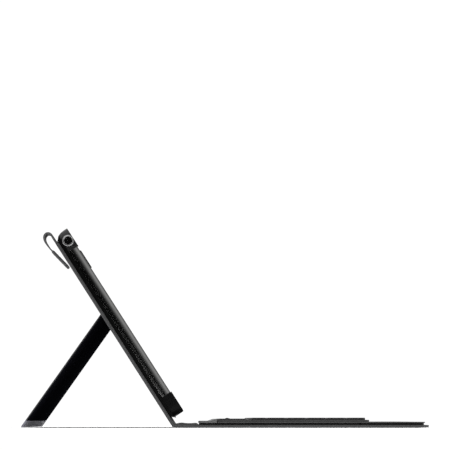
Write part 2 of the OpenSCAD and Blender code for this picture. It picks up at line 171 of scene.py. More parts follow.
def make_floor():
    mesh = bpy.data.meshes.new("floor")
    reach, z = 0.85, -0.4 * MM      # a little under the case, which gives a dark line of contact
    rim = arc((0, 0), reach, 0, 360 * 63 / 64, 63)
    mesh.from_pydata([(x, y, z) for x, y in rim], [], [tuple(range(len(rim)))])
    floor = bpy.data.objects.new("floor", mesh)
    scene.collection.objects.link(floor)
    surface = bpy.data.materials.new("pale_floor")
    surface.use_nodes = True
    tree = surface.node_tree
    shader = tree.nodes["Principled BSDF"]
    noise, ramp = tree.nodes.new("ShaderNodeTexNoise"), tree.nodes.new("ShaderNodeMapRange")
    noise.inputs["Scale"].default_value = 3
    ramp.inputs["To Min"].default_value, ramp.inputs["To Max"].default_value = 0.75, 0.85
    tree.links.new(noise.outputs["Fac"], ramp.inputs["Value"])
    tree.links.new(ramp.outputs["Result"], shader.inputs["Roughness"])
    shader.inputs["Base Color"].default_value = (0.93, 0.93, 0.93, 1)
    shader.inputs["Specular IOR Level"].default_value = 0
    shader.inputs["Emission Color"].default_value = (1, 1, 1, 1)
    shader.inputs["Emission Strength"].default_value = 0.15
    mesh.materials.append(surface)


# ---- Materials ----
class Surface:
    """A procedural material: a Principled shader whose colour, roughness and relief come from textures."""

    def __init__(self, name, color, rough, spread=0.12, patch=30 * MM, rough_spread=0.08, **shader):
        self.material = bpy.data.materials.new(name)
        self.material.use_nodes = True
        self.tree = self.material.node_tree
        self.shader = self.tree.nodes["Principled BSDF"]
        self.coords = self.tree.nodes.new("ShaderNodeTexCoord").outputs
        self.normal = None
        for socket, value in shader.items():
            self.shader.inputs[socket.replace("_", " ")].default_value = value
        blotch = self.noise(patch, detail=4)
        ramp = self.tree.nodes.new("ShaderNodeValToRGB")
        ramp.color_ramp.elements[0].position, ramp.color_ramp.elements[1].position = 0.3, 0.7
        ramp.color_ramp.elements[0].color = (*[c * (1 - spread) for c in color], 1)
        ramp.color_ramp.elements[1].color = (*[c * (1 + spread) for c in color], 1)
        self.tree.links.new(blotch, ramp.inputs["Fac"])
        self.color = ramp.outputs["Color"]
        self.tree.links.new(self.color, self.shader.inputs["Base Color"])
        shine = self.tree.nodes.new("ShaderNodeMapRange")
        shine.inputs["To Min"].default_value = rough - rough_spread
        shine.inputs["To Max"].default_value = rough + rough_spread
        self.tree.links.new(self.noise(patch / 4, detail=6), shine.inputs["Value"])
        self.tree.links.new(shine.outputs["Result"], self.shader.inputs["Roughness"])

    def stretched(self, stretch, coords="Object"):
        mapping = self.tree.nodes.new("ShaderNodeMapping")
        mapping.inputs["Scale"].default_value = stretch
        self.tree.links.new(self.coords[coords], mapping.inputs["Vector"])
        return mapping.outputs["Vector"]

    def noise(self, size, detail=3, stretch=(1, 1, 1)):
        node = self.tree.nodes.new("ShaderNodeTexNoise")
        node.inputs["Scale"].default_value = 1 / size
        node.inputs["Detail"].default_value = detail
        self.tree.links.new(self.stretched(stretch), node.inputs["Vector"])
        return node.outputs["Fac"]

    def relief(self, height, depth, inward=False):
        """Adds bumps from a height texture on top of the relief so far."""
        bump = self.tree.nodes.new("ShaderNodeBump")
        bump.invert = inward
        bump.inputs["Distance"].default_value = depth
        self.tree.links.new(height, bump.inputs["Height"])
        if self.normal:
            self.tree.links.new(self.normal, bump.inputs["Normal"])
        self.normal = bump.outputs["Normal"]
        self.tree.links.new(self.normal, self.shader.inputs["Normal"])
        return self

    def pebbles(self, size, depth):
        """Leather grain: rounded cells with creases between them."""
        cells = self.tree.nodes.new("ShaderNodeTexVoronoi")
        cells.feature = "SMOOTH_F1"
        cells.inputs["Scale"].default_value = 1 / size
        self.tree.links.new(self.stretched((1, 1, 1)), cells.inputs["Vector"])
        return self.relief(cells.outputs["Distance"], depth, inward=True)

    def speckle(self, size, depth, stretch=(1, 1, 1)):
        return self.relief(self.noise(size, detail=2, stretch=stretch), depth)

    def threads(self, size, depth):
        """Plain weave: two sets of threads that cross, on the piece's UV map in metres."""
        waves = []
        for turn in (0, math.pi / 2):
            mapping = self.tree.nodes.new("ShaderNodeMapping")
            mapping.inputs["Rotation"].default_value = (0, 0, turn)
            self.tree.links.new(self.coords["UV"], mapping.inputs["Vector"])
            wave = self.tree.nodes.new("ShaderNodeTexWave")
            wave.inputs["Scale"].default_value = 1 / (3.2 * size)
            self.tree.links.new(mapping.outputs["Vector"], wave.inputs["Vector"])
            waves.append(wave.outputs["Fac"])
        cross = self.tree.nodes.new("ShaderNodeMath")
        cross.operation = "MULTIPLY"
        self.tree.links.new(waves[0], cross.inputs[0])
        self.tree.links.new(waves[1], cross.inputs[1])
        return self.relief(cross.outputs[0], depth)

    def worn(self, color, size, amount):
        """Lighter rubbed patches, broken up by a fine noise."""
        mask = self.tree.nodes.new("ShaderNodeMapRange")
        mask.inputs["From Min"].default_value, mask.inputs["From Max"].default_value = 0.56, 0.72
        mask.inputs["To Max"].default_value = amount
        self.tree.links.new(self.noise(size, detail=8), mask.inputs["Value"])
        mix = self.tree.nodes.new("ShaderNodeMix")
        mix.data_type = "RGBA"
        self.tree.links.new(mask.outputs["Result"], mix.inputs["Factor"])
        self.tree.links.new(self.color, mix.inputs["A"])
        mix.inputs["B"].default_value = (*color, 1)
        self.color = mix.outputs["Result"]
        self.tree.links.new(self.color, self.shader.inputs["Base Color"])
        return self


def leather(name, level):
    return Surface(name, grey(level, 1), 0.58, spread=0.10, patch=25 * MM, Sheen_Weight=0.05,
                   Sheen_Roughness=0.5, Specular_IOR_Level=0.3) \
        .pebbles(0.9 * MM, 0.10 * MM).speckle(0.25 * MM, 0.03 * MM) \
        .worn(grey(level + 25), 14 * MM, 0.2)


def moulded(name, level, rough=0.45, blue=0, grain=0.35 * MM, depth=0.02 * MM, **shader):
    shader.setdefault("Specular_IOR_Level", 0.15)
    return Surface(name, grey(level, blue), rough, spread=0.05, patch=18 * MM, rough_spread=0.06, **shader) \
        .speckle(grain, depth).worn(grey(level + 16), 6 * MM, 0.15)


def metal(name, level, rough, size=0.4 * MM, stretch=(1, 0.02, 1)):
    return Surface(name, grey(level), rough, spread=0.06, patch=8 * MM, Metallic=1.0) \
        .speckle(size, 0.012 * MM, stretch)


surfaces = {
    "outer_skin": leather("grained_skin", 72),
    "stand_skin": leather("stand_skin", 62),
    # The strap's leather is the folio's grained skin made lighter; the extra lightness is painted light on
    # the strap.
    "flap_skin_painted_light": leather("flap_skin_painted_light", 84),
    "inner_lining": Surface("brushed_lining", grey(58), 0.85, spread=0.14, patch=12 * MM, Sheen_Weight=0.15)
    .speckle(0.18 * MM, 0.05 * MM).speckle(2.5 * MM, 0.03 * MM, (1, 0.4, 1)),
    "recess_lining": Surface("recess_lining", grey(44), 0.9, spread=0.12, patch=10 * MM, Sheen_Weight=0.3)
    .speckle(0.2 * MM, 0.05 * MM),
    "stiffener": Surface("fibreboard", (0.055, 0.05, 0.045), 0.9, spread=0.2, patch=4 * MM)
    .speckle(0.3 * MM, 0.05 * MM, (1, 0.2, 1)),
    "black_shell": moulded("black_shell", 34, 0.5),
    "grey_shell": moulded("grey_shell", 84, 0.42, grain=0.3 * MM, depth=0.025 * MM),
    # Light grey of the battery bar: partly a lighter plastic, partly a painted highlight for the light its
    # rounded end catches.
    "battery_shell_and_highlight": moulded("battery_shell_and_highlight", 112, 0.4),
    "bar_plastic": moulded("bar_plastic", 66, 0.38),
    "key_plastic": Surface("key_plastic", grey(44), 0.42, spread=0.05, patch=15 * MM, rough_spread=0.1)
    .speckle(0.25 * MM, 0.02 * MM).worn(grey(70), 9 * MM, 0.15),
    "switch_plastic": moulded("switch_plastic", 140, 0.35),
    "light_pipe": Surface("light_pipe", (0.75, 0.85, 0.78), 0.25, spread=0.04, patch=2 * MM,
                          Transmission_Weight=0.3).speckle(0.3 * MM, 0.01 * MM),
    "steel": metal("brushed_steel", 175, 0.32),
    "membrane": Surface("membrane", (0.62, 0.68, 0.55), 0.35, spread=0.08, patch=5 * MM)
    .speckle(1 * MM, 0.02 * MM),
    "dome_rubber": Surface("dome_rubber", (0.75, 0.75, 0.72), 0.6, spread=0.05, patch=2 * MM)
    .speckle(0.2 * MM, 0.02 * MM),
    "battery_foil": metal("battery_foil", 190, 0.4, 1.5 * MM, (1, 1, 1)),
    "board_green": Surface("board_green", (0.02, 0.16, 0.07), 0.35, spread=0.25, patch=1.5 * MM,
                           Coat_Weight=0.5)
    .speckle(0.8 * MM, 0.03 * MM),
    "port_metal": metal("port_metal", 185, 0.25),
    "tray_black": moulded("tray_black", 9, 0.45, grain=0.4 * MM, depth=0.008 * MM, Specular_IOR_Level=0.06),
    "tray_pad": Surface("tray_pad", grey(38), 0.9, spread=0.12, patch=9 * MM, Sheen_Weight=0.35)
    .speckle(0.22 * MM, 0.05 * MM),
    "rail_gloss": Surface("rail_gloss", grey(176, -1), 0.16, spread=0.03, patch=20 * MM, rough_spread=0.03,
                          Metallic=1.0).speckle(0.3 * MM, 0.001 * MM, (0.1, 1, 0.1)),
    # The top clips' grey is painted light: it is the black clip plastic below, made lighter to stand for the
    # light that the top clips catch.
    "clip_grey": moulded("clip_grey", 34, 0.3, depth=0.006 * MM, Specular_IOR_Level=0.6),
    "clip_black": moulded("clip_black", 9, 0.42, depth=0.01 * MM, Specular_IOR_Level=0.08),
    "ring_metal": Surface("ring_metal", grey(200), 0.2, spread=0.05, patch=3 * MM, Metallic=1.0)
    .speckle(0.4 * MM, 0.004 * MM),
    # Near-black colour of the disc in the headphone hole: painted shade of the hole's depth.
    "hole_shade_rubber": moulded("hole_shade_rubber", 5, 0.6, depth=0.005 * MM, Specular_IOR_Level=0.05),
    "bezel_plastic": moulded("bezel_plastic", 40, 0.3),
    "stand_liner": Surface("woven_liner", grey(20, 5), 0.9, spread=0.15, patch=8 * MM, Specular_IOR_Level=0)
    .threads(0.6 * MM, 0.08 * MM),
    "foot_rubber": moulded("foot_rubber", 130, 0.5, blue=10, depth=0.008 * MM),
    "magnet": metal("magnet", 160, 0.3),
    "thread": Surface("thread", grey(120), 0.7, spread=0.1, patch=1 * MM).speckle(0.3 * MM, 0.05 * MM),
}


# ---- Mesh tools ----
def placed(name, mesh, surface, body, stands_for=(), angle=38):
    """Makes a mesh into a piece that rides on a CAD body."""
    mesh.materials.append(surfaces[surface].material)
    for face in mesh.polygons:
        face.use_smooth = True
    mesh.set_sharp_from_angle(angle=math.radians(angle))
    piece = bpy.data.objects.new(name, mesh)
    scene.collection.objects.link(piece)
    if body:
        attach(piece, body)
    if stands_for:
        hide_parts(*stands_for)
    return piece


def bevelled(piece, width, segments=3, angle=35):
    modifier = piece.modifiers.new("rounded edges", "BEVEL")
    modifier.width, modifier.segments = width, segments
    modifier.limit_method, modifier.angle_limit = "ANGLE", math.radians(angle)
    modifier.harden_normals = False
    return piece


def shell(name, rows, cols, outer, inner, paint=None):
    """Closed sheet between two surfaces that share one grid of lines. Its UV map is that grid, in metres."""
    points = [face(u, v) for face in (outer, inner) for u in rows for v in cols]
    n, m = len(rows), len(cols)
    half = n * m
    quads, kinds = [], []
    for i in range(n - 1):
        for j in range(m - 1):
            a, b, c, d = i * m + j, i * m + j + 1, (i + 1) * m + j + 1, (i + 1) * m + j
            kind = paint((rows[i] + rows[i + 1]) / 2, (cols[j] + cols[j + 1]) / 2) if paint else 0
            quads += [(a, b, c, d), (half + d, half + c, half + b, half + a)]
            kinds += [kind, kind]
    rim = [i * m for i in range(n)] + [(n - 1) * m + j for j in range(1, m)]
    rim += [i * m + m - 1 for i in range(n - 2, -1, -1)] + [j for j in range(m - 2, 0, -1)]
    for a, b in zip(rim, rim[1:] + rim[:1]):
        quads.append((a, b, half + b, half + a))
        kinds.append(0)
    mesh = bpy.data.meshes.new(name)
    mesh.from_pydata(points, [], quads)
    flat = [(u, v) for _ in (0, 1) for u in rows for v in cols]
    uv = mesh.uv_layers.new(name="flat")
    for loop in mesh.loops:
        uv.data[loop.index].uv = flat[loop.vertex_index]
    mesh.polygons.foreach_set("material_index", kinds)
    turned_out(mesh)
    return mesh


def turned_out(mesh):
    bm = bmesh.new()
    bm.from_mesh(mesh)
    bmesh.ops.recalc_face_normals(bm, faces=bm.faces)
    bm.to_mesh(mesh)
    bm.free()


def prism(name, outline, start, end, place):
    """A closed outline pushed along its own normal; place turns (a, b, depth) into a point of the frame."""
    n = len(outline)
    points = [place(a, b, depth) for depth in (start, end) for a, b in outline]
    faces = [tuple(range(n)), tuple(range(2 * n - 1, n - 1, -1))]
    faces += [(i, (i + 1) % n, n + (i + 1) % n, n + i) for i in range(n)]
    mesh = bpy.data.meshes.new(name)
    mesh.from_pydata(points, [], faces)
    turned_out(mesh)
    return mesh


def arc(center, radius, start, end, steps):
    """Points of an arc, angles in degrees."""
    angles = [math.radians(start + (end - start) * i / steps) for i in range(steps + 1)]
    return [(center[0] + radius * math.cos(a), center[1] + radius * math.sin(a)) for a in angles]


def rounded_rectangle(x0, x1, y0, y1, radius, steps=5):
    corners = [((x1 - radius, y1 - radius), 0), ((x0 + radius, y1 - radius), 90),
               ((x0 + radius, y0 + radius), 180), ((x1 - radius, y0 + radius), 270)]
    return [p for center, start in corners for p in arc(center, radius, start, start + 90, steps)]


def boolean(mesh, cutter_mesh, operation):
    """The mesh with a cutter taken away, or cut down to it."""
    body, cutter = bpy.data.objects.new("body", mesh), bpy.data.objects.new("cutter", cutter_mesh)
    for part in (body, cutter):
        scene.collection.objects.link(part)
    modifier = body.modifiers.new("cut", "BOOLEAN")
    modifier.operation, modifier.object, modifier.solver = operation, cutter, "EXACT"
    bpy.context.view_layer.update()
    result = bpy.data.meshes.new_from_object(body.evaluated_get(bpy.context.evaluated_depsgraph_get()))
    result.name = mesh.name
    for part in (body, cutter):
        bpy.data.objects.remove(part)
    return result


def welded_copy(node):
    """A CAD node's mesh with its doubled vertices joined and its flat faces whole again."""
    bm = bmesh.new()
    bm.from_mesh(frame["nodes"][node].data)
    bmesh.ops.remove_doubles(bm, verts=bm.verts, dist=1e-6)
    bmesh.ops.dissolve_limit(bm, angle_limit=math.radians(1), verts=bm.verts, edges=bm.edges)
    mesh = bpy.data.meshes.new(node + "_copy")
    bm.to_mesh(mesh)
    bm.free()
    return mesh


def solids_of(node):
    """Lowest and highest corner of each separate solid in a CAD node, in order."""
    bm = bmesh.new()
    bm.from_mesh(frame["nodes"][node].data)
    bmesh.ops.remove_doubles(bm, verts=bm.verts, dist=1e-6)
    left, boxes = set(bm.verts), []
    while left:
        stack, group = [left.pop()], []
        while stack:
            vertex = stack.pop()
            group.append(vertex.co.copy())
            near = {edge.other_vert(vertex) for edge in vertex.link_edges} & left
            left -= near
            stack += near
        boxes.append((tuple(min(c) for c in zip(*group)), tuple(max(c) for c in zip(*group))))
    bm.free()
    return sorted(boxes)


# ---- Shapes that the soft panels share ----
def rounded_off(e, radius):
    """How far a surface falls back at distance e inside a rounded edge."""
    return radius - math.sqrt(max(radius ** 2 - (radius - e) ** 2, 0)) if e < radius else 0


groove_at, groove_half, groove_depth = 3 * MM, 0.5 * MM, 0.28 * MM


def groove(e):
    """The line that is pressed into the skin round a panel's border."""
    return groove_depth * max(0, 1 - ((e - groove_at) / groove_half) ** 2)


edge_r, base_edge_r = 1.1 * MM, 0.5 * MM
border_steps = [e * MM for e in (0, 0.08, 0.3, 0.65, 1.1, 1.8, 2.5, 2.75, 3, 3.25, 3.5, 4.5, 5.7, 7)]


def round_corner(e_u, e_v):
    """Moves a point near a square corner so that the corner turns round with radius corner_r."""
    if e_u >= corner_r or e_v >= corner_r:
        return e_u, e_v
    a, b = corner_r - e_u, corner_r - e_v
    scale = max(a, b) / math.hypot(a, b) if a or b else 1
    return corner_r - a * scale, corner_r - b * scale


def folio_point(u, y, depth):
    """Point of the folio at distance u from the base fold line, positive on the keyboard flap,
    y across, and depth in from the outer face."""
    if u >= -spine_len:
        return Vector((base_fold.x + u, y, depth))
    run = -spine_len - u
    if run < fold_arc:
        turn = run / fold_arc
        r = spine_t - (spine_t - cover_t) * turn - depth
        return cover_fold + Vector((-r * math.sin(tilt * turn), y, -r * math.cos(tilt * turn)))
    return COVER @ Vector((fold_arc - run, y, depth - cover_t))


u_seam = -spine_len / 2
u_cover = -spine_len - fold_arc
u_top = u_cover - cover_len
u_recess = (u_cover - recess_end, -spine_len + recess_past_fold)
lip_r = 0.6 * MM
wall_step = 0.05 * MM
lip_steps = [-lip_r, -0.4 * MM, -0.2 * MM, 0, wall_step]


def recess_reach(u, y):
    """Distance inside the kickstand's recess, negative outside."""
    return min(recess_half_w - abs(y), u - u_recess[0], u_recess[1] - u)


def pan_depth(u):
    """Depth of the recess: it stops just under the lining, which is thinner over the spine."""
    spine_depth, cover_depth = 2.68 * MM, 2.17 * MM
    share = min(max((-spine_len - u) / fold_arc, 0), 1)
    return spine_depth + (cover_depth - spine_depth) * share


def recess_fall(u, y):
    reach = recess_reach(u, y)
    if reach > 0:
        return pan_depth(u)
    return rounded_off(-reach, lip_r)


def base_to_spine(u, base_value, spine_value):
    """A thickness that changes from the keyboard flap's to the spine's just behind the base fold."""
    share = min(max((-2 * MM - u) / (1.4 * MM), 0), 1)
    return base_value + (spine_value - base_value) * share * share * (3 - 2 * share)


def hump(u, center, reach):
    """A smooth hill, 1 at its centre and 0 beyond its reach."""
    return math.cos(math.pi / 2 * min(abs(u - center) / reach, 1)) ** 2


def crease(u):
    """How far the lining stands up over the spine, where it bunches beside the two folds."""
    fade = min(max(u + spine_len, 0) / (3 * MM), 1) * min(max(1.8 * MM - u, 0) / (1.2 * MM), 1)
    return fade * (0.3 * MM + 0.6 * MM * hump(u, -15.5 * MM, 6 * MM) + 0.35 * MM * hump(u, -1 * MM, 3.5 * MM))


def base_to_fold(u):
    """Height of the lining's face: it climbs from the keyboard flap to the spine beside the fold."""
    share = min(max((1.8 * MM - u) / (1.6 * MM), 0), 1)
    return base_t + (spine_t - 0.02 * MM - base_t) * share * share * (3 - 2 * share)


def mirrored(lines):
    return sorted({round(v, 7) for line in lines for v in (line, -line)})


side_lines = [half_w - e for e in border_steps]
wide_lines = mirrored(side_lines + [20 * MM * i for i in range(8)])


def panel_point(u, v, u_edge, depth):
    """Folio point with the corner at u_edge rounded; depth is a function of u, y and the edge distance."""
    e_u, e_v = abs(u_edge - u), half_w - abs(v)
    away = min(e_u, e_v)
    e_u, e_v = round_corner(e_u, e_v)
    u = u_edge + math.copysign(e_u, u - u_edge) if u != u_edge else u_edge + (e_u if u_edge < 0 else -e_u)
    return folio_point(u, math.copysign(half_w - e_v, v), depth(u, v, away))


# ---- Folio skins and linings ----
def stadium(grow, steps=12):
    """Outline of the camera opening, across and along the cover."""
    r = camera_half[1] + grow
    reach = camera_half[0] + grow - r
    return arc((reach, camera_s), r, -90, 90, steps) + arc((-reach, camera_s), r, 90, 270, steps)


def cover_cutter(name, outline, low, high):
    """Prism through the cover; the outline is given across and along it."""
    return prism(name, outline, low, high, lambda y, s, h: COVER @ Vector((-s, y, h)))


def hinge_windows():
    grow = 0.15 * MM
    x0, x1 = stand_s - 3.5 * MM - grow, stand_s + 3.5 * MM + grow
    y0, y1 = recess_half_w - 0.5 * MM, recess_half_w + 5.8 * MM + grow
    return [[(side * y, s) for y, s in ((y0, x0), (y1, x0), (y1, x1), (y0, x1))] for side in (-1, 1)]


def make_base_skin():
    def outer(u, v):
        return panel_point(u, v, base_len, lambda u, y, e: rounded_off(e, base_edge_r) + groove(e))

    def inner(u, v):
        def depth(u, y, e):
            full = base_to_spine(u, base_lining_z, lining_depth)
            return full if e < 2.6 * MM or u < 5 * MM else 1.02 * MM
        return panel_point(u, v, base_len, depth)

    rows = [base_len - e for e in border_steps] + [20 * MM * i for i in range(1, 11)]
    rows += [u * MM for u in (6, 4, 2.4, 1.6, 0.8, 0, -0.8, -1.6, -2.4, -3.4, -5)] + [u_seam]
    mesh = shell("base_skin", sorted(rows), wide_lines, outer, inner)
    piece = placed("base_skin", mesh, "outer_skin", None, ["base_outer_skin"])
    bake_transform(piece)


def make_cover_skin():
    def outer(u, v):
        def depth(u, y, e):
            return rounded_off(e, edge_r) + groove(e) + recess_fall(u, v)
        return panel_point(u, v, u_top, depth)

    def inner(u, v):
        def depth(u, y, e):
            if recess_reach(u, v) > -wall_step:
                return pan_depth(u) + 0.06 * MM
            return lining_depth if e < 1.9 * MM or abs(recess_reach(u, v)) < 1 * MM or u > u_cover else skin_t
        return panel_point(u, v, u_top, depth)

    rows = [u_seam, -12.5 * MM] + [u_recess[1] - g for g in lip_steps] + [u_recess[0] + g for g in lip_steps]
    rows += [-spine_len + 3 * MM] + [-spine_len - fold_arc * i / 10 for i in range(11)]
    rows += [u_cover - s * MM for s in (1, 4, 10, 30, 50, 70, 90, 110, 122, 135, 150, 165, 175, 185, 195)]
    rows += [u_top + e for e in border_steps]
    lips = [recess_half_w - g for g in lip_steps]
    cols = mirrored([v for v in wide_lines if v > 0] + [0] + lips)

    def paint(u, v):
        return 1 if recess_reach(u, v) > 0 else 0

    mesh = shell("cover_skin", sorted(rows), cols, outer, inner, paint)
    mesh = boolean(mesh, cover_cutter("camera_cut", stadium(2 * MM), -5 * MM, 1 * MM), "DIFFERENCE")
    for window in hinge_windows():
        mesh = boolean(mesh, cover_cutter("hinge_cut", window, -5 * MM, -0.9 * MM), "DIFFERENCE")
    piece = placed("cover_skin", mesh, "outer_skin", None, ["cover_outer_skin", "spine_outer_skin"])
    mesh.materials.append(surfaces["recess_lining"].material)
    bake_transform(piece)


def make_base_lining():
    def outer(u, v):
        def depth(u, y, e):
            return base_to_fold(u) + crease(u) - rounded_off(e, lining_edge_r)
        return panel_point(u, v, base_len, depth)

    def inner(u, v):
        return panel_point(u, v, base_len, lambda u, y, e: base_to_spine(u, base_lining_z, lining_depth))

    steps = lining_edge_steps
    rows = [base_len - e for e in steps] + [20 * MM * i for i in range(1, 11)]
    near_fold = (6, 3, 2, 1.8, 1.5, 1.2, 0.9, 0.6, 0.3, 0, -0.5, -1, -1.5, -2, -2.4, -2.8, -3.2, -3.5,
                 -4, -5, -6.5, -8, -9.5)
    rows += [u * MM for u in near_fold] + [u_seam]
    cols = mirrored([half_w - e for e in steps] + [20 * MM * i for i in range(8)])
    mesh = shell("base_lining_sheet", sorted(rows), cols, outer, inner)
    piece = placed("base_lining_sheet", mesh, "inner_lining", None, ["base_lining"])
    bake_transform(piece)


def make_cover_lining():
    inward = 0.06 * MM

    def outer(u, v):
        def depth(u, y, e):
            share = min(max((-spine_len - u) / fold_arc, 0), 1)
            top = spine_t + (cover_t - spine_t) * share - inward
            return top + crease(u) - rounded_off(e, lining_edge_r)
        return panel_point(u, v, u_top, depth)

    def inner(u, v):
        def depth(u, y, e):
            return pan_depth(u) + 0.07 * MM if recess_reach(u, v) > 0 else lining_depth
        return panel_point(u, v, u_top, depth)

    steps = lining_edge_steps
    rows = [u_seam, u_recess[1] + wall_step, u_recess[1] - wall_step]
    rows += [u * MM for u in (-12, -13, -14.4, -15.6, -16.8, -18, -18.7, -19.4, -20, -20.6, -21.2)]
    rows += [-spine_len - fold_arc * i / 4 for i in range(5)]
    rows += [u_cover - s * MM for s in (1, 4, 20, 60, 100)]
    rows += [u_recess[0] - wall_step, u_recess[0] + wall_step]
    rows += [u_cover - s * MM for s in (140, 170, 185)] + [u_top + e for e in steps]
    walls = [recess_half_w - wall_step, recess_half_w + wall_step]
    cols = mirrored([half_w - e for e in steps] + [20 * MM * i for i in range(8)] + walls)
    mesh = shell("cover_lining_sheet", sorted(rows), cols, outer, inner)
    mesh = boolean(mesh, cover_cutter("camera_cut", stadium(0), -5 * MM, 1 * MM), "DIFFERENCE")
    piece = placed("cover_lining_sheet", mesh, "inner_lining", None, ["cover_lining", "spine_lining"])
    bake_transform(piece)


# ---- Closing strap: short sheets, each bending across one fold line ----
flap_joints = [f"flap_fold_{i}" for i in range(1, 8)] + ["closing_flap"]
folds = [Vector((anchor[name].x, 0, anchor[name].z)) for name in flap_joints]
half_pitch = (folds[1] - folds[0]).length / 2
headings = [(COVER.to_3x3() @ Vector((-1, 0, 0))).normalized()]
headings += [(b - a).normalized() for a, b in zip(folds, folds[1:])]
headings.append(Matrix.Rotation(-tab_bend, 3, "Y") @ headings[-1])
flap_steps = [e * MM for e in (0, 0.06, 0.25, 0.5, 1.5, 2.5, 2.75, 3, 3.25, 3.5, 5)]
flap_cols = mirrored([flap_half_w - e for e in flap_steps] + [0, 3.5 * MM])


def outward(heading):
    """Direction from the flap's inner side to its outer side, in the side view."""
    return Vector((-heading.z, 0, heading.x))


def padding(links):
    """Extra thickness of the strap's outer side, at a distance in links from its root."""
    def fade(start, end):
        share = min(max((links - start) / (end - start), 0), 1)
        return 1 - share * share * (3 - 2 * share)
    up_to_tab, near_root = 0.5 * MM, 0.45 * MM
    return up_to_tab * fade(6, 7.6) + near_root * fade(1, 3.2)


def make_flap():
    for i, fold in enumerate(folds):
        start, end = fold - headings[i] * half_pitch, fold + headings[i + 1] * half_pitch

        def middle(t, start=start, fold=fold, end=end):
            return start.lerp(fold, t).lerp(fold.lerp(end, t), t)

        def heading(t, start=start, fold=fold, end=end):
            return ((fold - start) * (1 - t) + (end - fold) * t).normalized()

        def side(sign, i=i):
            def point(t, v):
                e = flap_half_w - abs(v)
                full = flap_t / 2 + (padding(i + t) if sign > 0 else 0)
                thick = full - rounded_off(e, 0.5 * MM) - groove(e) * (0.5 if sign > 0 else 0.3)
                return middle(t) + outward(heading(t)) * sign * thick + Vector((0, flap_y + v, 0))
            return point

        rows = [k / 8 for k in range(9)]
        name = f"flap_sheet_{i + 1}"
        mesh = shell(name, rows, flap_cols, side(1), side(-1))
        uv = mesh.uv_layers["flat"].data
        for loop in uv:
            loop.uv = (loop.uv[0] * 2 * half_pitch, loop.uv[1])
        stands_for = [f"flap_link_{i}"] if i else []
        piece = placed(name, mesh, "flap_skin_painted_light", None, stands_for, angle=50)
        length = sum((middle((k + 1) / 8) - middle(k / 8)).length for k in range(8))
        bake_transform(piece)
        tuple(start)
        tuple(end)


def make_tab():
    fold, ahead = folds[-1], headings[-1]
    out = outward(ahead)
    start, end = half_pitch, tab_len
    round_end = 4 * MM
    steps = [e * MM for e in (0, 0.1, 0.35, 0.8, 1.3, 2, 2.5, 2.75, 3, 3.25, 3.5, 4)]

    def side(sign):
        def point(u, v):
            e_u, e_v = end - u, flap_half_w - abs(v)
            away = min(e_u, e_v)
            if e_u < round_end and e_v < round_end:
                a, b = round_end - e_u, round_end - e_v
                scale = max(a, b) / math.hypot(a, b)
                e_u, e_v = round_end - a * scale, round_end - b * scale
            rise = min(max((u - start) / (2.2 * MM), 0), 1)
            full = flap_t / 2 + (tab_t - flap_t) / 2 * rise * rise * (3 - 2 * rise)
            thick = full - rounded_off(away, 1.3 * MM) * full / (tab_t / 2) - groove(away) * 0.9
            y = flap_y + math.copysign(flap_half_w - e_v, v)
            return fold + ahead * (end - e_u) + out * sign * thick + Vector((0, y, 0))
        return point

    rows = [start + k * 0.55 * MM for k in range(5)] + [8 * MM, 14 * MM] + [end - e for e in steps]
    cols = mirrored([flap_half_w - e for e in steps] + [0, 3 * MM])
    mesh = shell("tab_cover", sorted(rows), cols, side(1), side(-1))
    placed("tab_cover", mesh, "flap_skin_painted_light", "flap_end", ["flap_tab", "tab_magnet"], angle=50)
    make_stitches(fold, ahead, out, end)


def stitch(points, faces, center, along, out, length, width):
    """One sewn stitch: a short rounded bar that dips at both ends."""
    across = along.cross(out)
    first = len(points)
    rings = ((-0.5, 0.35, -0.5), (-0.3, 0.9, 0.1), (0, 1, 0.35), (0.3, 0.9, 0.1), (0.5, 0.35, -0.5))
    sides = 6
    for place, size, lift in rings:
        for k in range(sides):
            a = 2 * math.pi * k / sides
            points.append(center + along * place * length + out * (lift + size * math.sin(a)) * width / 2
                          + across * size * math.cos(a) * width / 2)
    for r in range(len(rings) - 1):
        for k in range(sides):
            a, b = first + r * sides + k, first + r * sides + (k + 1) % sides
            faces.append((a, b, b + sides, a + sides))
    faces.append(tuple(first + k for k in reversed(range(sides))))
    faces.append(tuple(first + (len(rings) - 1) * sides + k for k in range(sides)))


def make_stitches(fold, ahead, out, end):
    """Sewing in the pressed line round the tab, on both faces."""
    points, faces = [], []
    pitch, length, width = 3.6 * MM, 2.5 * MM, 0.45 * MM
    across = Vector((0, 1, 0))
    for sign in (-1, 1):
        face = out * sign
        height = face * (tab_t / 2 - groove_depth * 0.6)
        count = int((2 * flap_half_w - 8 * MM) / pitch)
        for k in range(count + 1):
            y = flap_y + (k - count / 2) * pitch
            for u in (end - groove_at, start_of_sewing):
                stitch(points, faces, fold + ahead * u + across * y + height, across, face, length, width)
        for edge in (-1, 1):
            for k in range(4):
                u = start_of_sewing + 3 * MM + k * pitch
                place = fold + ahead * u + across * (flap_y + edge * (flap_half_w - groove_at)) + height
                stitch(points, faces, place, ahead, face, length, width)
    mesh = bpy.data.meshes.new("tab_stitching")
    mesh.from_pydata(points, [], faces)
    turned_out(mesh)
    placed("tab_stitching", mesh, "thread", "flap_end", angle=80)


# ---- Tablet tray ----
jack_sides = 48
clip_bevel = 0.6 * MM


def tray_profile():
    """Side outline of the tray and its clips, along the cover and up from its lining."""
    bowed = [(207.1, -0.1), (208.4, 1.2), (210.9, 3.5), (212.3, 6.2), (213.0, 9.5), (213.3, 13.2),
             (212.9, 14.1), (212.2, 14.4)]
    low = [(8, 14.4), (7.1, 14.1), (6.6, 13.4), (6.45, 6), (4.9, 3.6), (8.2, -0.1)]
    return [(s * MM, h * MM) for s, h in bowed + low]


def side_prism(name, outline, reach):
    return prism(name, outline, -reach, reach, lambda s, h, y: COVER @ Vector((-s, y, h)))


